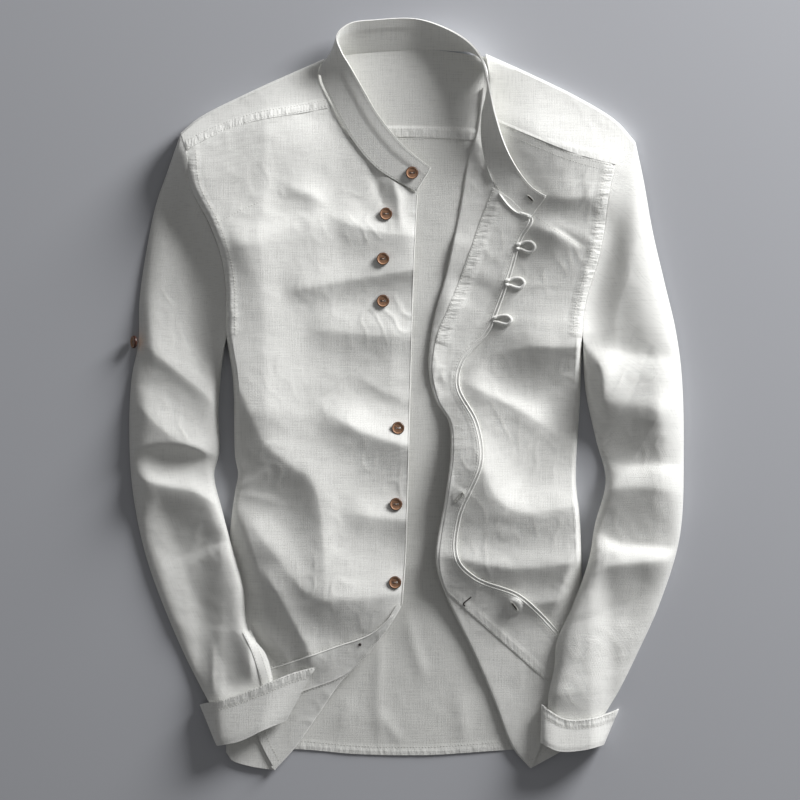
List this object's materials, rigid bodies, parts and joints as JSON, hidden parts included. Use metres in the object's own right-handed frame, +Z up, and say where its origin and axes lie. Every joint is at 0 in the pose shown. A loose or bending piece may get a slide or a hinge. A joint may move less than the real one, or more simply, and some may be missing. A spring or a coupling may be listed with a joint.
{
  "type": "dress shirt",
  "caption": "Long-sleeved band-collared shirt of pale cotton and linen, laid on its back with the front open and the cuffs turned back.",
  "frame": {"origin": "on the surface under the middle of the shirt, where its bounding box's base has its centre", "axes": "+X towards the wearer's left, +Y from the hem to the collar, +Z up from the surface the shirt lies on"},
  "size_m": [0.5552, 0.751, 0.0392],
  "materials": {
    "cloth": "plain-woven cotton and linen with slubs, off-white with a faint grey-green cast, matt",
    "doubled_cloth": "the same cloth, two layers with topstitched, slightly puckered edges",
    "buttons": "reddish-brown turned buttons with a satin rim, sewn on through two holes"
  },
  "bodies": {
    "root": {"back": "cloth", "yoke": "cloth", "front_right": "cloth", "front_left": "cloth", "placket_right": "doubled_cloth", "placket_left": "doubled_cloth", "collar_band": "doubled_cloth", "sleeve_right": "cloth", "sleeve_left": "cloth", "sleeve_placket_right": "doubled_cloth", "cuff_right": "doubled_cloth", "cuff_left": "doubled_cloth", "loop_1": "cloth", "loop_2": "cloth", "loop_3": "cloth", "button_collar": "buttons", "button_chest_1": "buttons", "button_chest_2": "buttons", "button_chest_3": "buttons", "button_front_1": "buttons", "button_front_2": "buttons", "button_front_3": "buttons", "button_tab": "buttons"}
  },
  "joints": []
}
